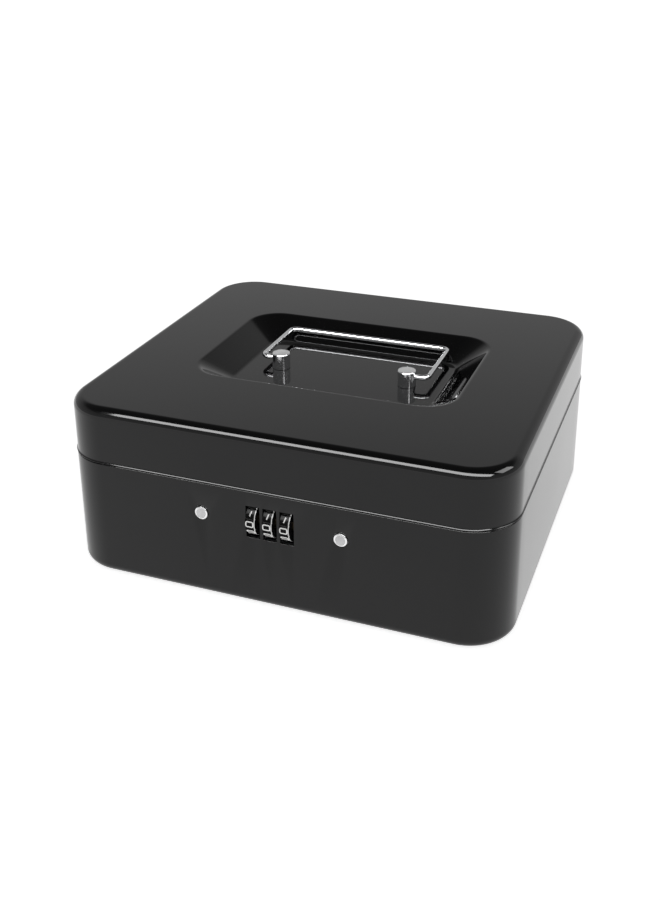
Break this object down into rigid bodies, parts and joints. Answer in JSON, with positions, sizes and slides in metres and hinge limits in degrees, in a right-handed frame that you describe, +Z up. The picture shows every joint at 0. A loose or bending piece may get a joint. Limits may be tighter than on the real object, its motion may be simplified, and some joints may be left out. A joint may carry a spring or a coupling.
{
  "type": "cash box",
  "caption": "Hinged steel cash box with a folding wire handle in a sunk pan, push-button latch, number-wheel lock and lift-out coin tray.",
  "frame": {"origin": "middle of the underside of the closed box, measured over the lid skin", "axes": "+X to the right when facing the front, +Y from front to back, +Z up"},
  "size_m": [0.25, 0.2301, 0.1],
  "materials": {
    "black_paint": "gloss black stove enamel on pressed steel",
    "bright_chrome": "bright chrome plating",
    "button_steel": "satin nickel",
    "wheel_plastic": "gloss black moulded plastic with white figures",
    "tumbler_brass": "turned brass",
    "zinc_steel": "zinc plated sheet",
    "hinge_steel": "black enamel over welded hinge leaf",
    "pin_steel": "plain steel",
    "spring_steel": "spring steel",
    "cover_plastic": "black moulded plastic",
    "tray_plastic": "black moulded plastic"
  },
  "bodies": {
    "base": {"base_shell": "black_paint", "hinge_leaf_base_left": "hinge_steel", "hinge_leaf_base_right": "hinge_steel", "hinge_pin_left": "pin_steel", "hinge_pin_right": "pin_steel", "lock_frame": "zinc_steel", "lock_cover": "cover_plastic", "cover_screws": "pin_steel", "guide_pins": "pin_steel", "latch_springs": "spring_steel", "detent_spring": "spring_steel", "tray_ledge_left": "black_paint", "tray_ledge_right": "black_paint"},
    "lid": {"lid_shell": "black_paint", "hinge_leaf_lid_left": "hinge_steel", "hinge_leaf_lid_right": "hinge_steel", "striker_left": "zinc_steel", "striker_right": "zinc_steel", "handle_post_left": "bright_chrome", "handle_post_right": "bright_chrome", "post_washers": "pin_steel", "post_screws": "pin_steel"},
    "handle": {"handle_bail": "bright_chrome"},
    "latch": {"latch_slide": "zinc_steel", "fence_comb": "zinc_steel", "fence_rivets": "pin_steel"},
    "button_left": {"button_left": "button_steel", "button_clip_left": "spring_steel"},
    "button_right": {"button_right": "button_steel", "button_clip_right": "spring_steel"},
    "wheel_left": {"number_wheel_left": "wheel_plastic", "tumbler_left": "tumbler_brass"},
    "wheel_middle": {"number_wheel_middle": "wheel_plastic", "tumbler_middle": "tumbler_brass"},
    "wheel_right": {"number_wheel_right": "wheel_plastic", "tumbler_right": "tumbler_brass"},
    "code_lever": {"code_lever": "zinc_steel", "dial_shaft": "pin_steel"},
    "coin_tray": {"coin_tray": "tray_plastic"}
  },
  "joints": [
    {"name": "lid_hinge", "type": "hinge", "parent": "base", "child": "lid", "pos_m": [0, 0.113, 0.068], "axis": [-1, 0, 0], "range_deg": [0, 100]},
    {"name": "handle_swing", "type": "hinge", "parent": "lid", "child": "handle", "pos_m": [0, -0.003, 0.095], "axis": [1, 0, 0], "range_deg": [0, 170]},
    {"name": "latch_press", "type": "slide", "parent": "base", "child": "latch", "axis": [0, 1, 0], "range_m": [0, 0.0028], "stiffness_N_per_m": 300, "springref_m": -0.003, "deforming": ["latch_springs"]},
    {"name": "button_left_press", "type": "slide", "parent": "base", "child": "button_left", "axis": [0, 1, 0], "range_m": [0, 0.0028]},
    {"name": "button_right_press", "type": "slide", "parent": "base", "child": "button_right", "axis": [0, 1, 0], "range_m": [0, 0.0028]},
    {"name": "wheel_left_turn", "type": "hinge", "parent": "base", "child": "wheel_left", "pos_m": [-0.01005, -0.1053, 0.05], "axis": [1, 0, 0], "continuous": true},
    {"name": "wheel_middle_turn", "type": "hinge", "parent": "base", "child": "wheel_middle", "pos_m": [-0.00055, -0.1053, 0.05], "axis": [1, 0, 0], "continuous": true},
    {"name": "wheel_right_turn", "type": "hinge", "parent": "base", "child": "wheel_right", "pos_m": [0.00895, -0.1053, 0.05], "axis": [1, 0, 0], "continuous": true},
    {"name": "code_lever_slide", "type": "slide", "parent": "base", "child": "code_lever", "axis": [1, 0, 0], "range_m": [0, 0.002]},
    {"name": "coin_tray_lift", "type": "slide", "parent": "base", "child": "coin_tray", "axis": [0, 0, 1], "range_m": [0, 0.003]}
  ],
  "couplings": [
    {"joint": "button_left_press", "follows": "latch_press", "ratio": 1},
    {"joint": "button_right_press", "follows": "latch_press", "ratio": 1}
  ]
}
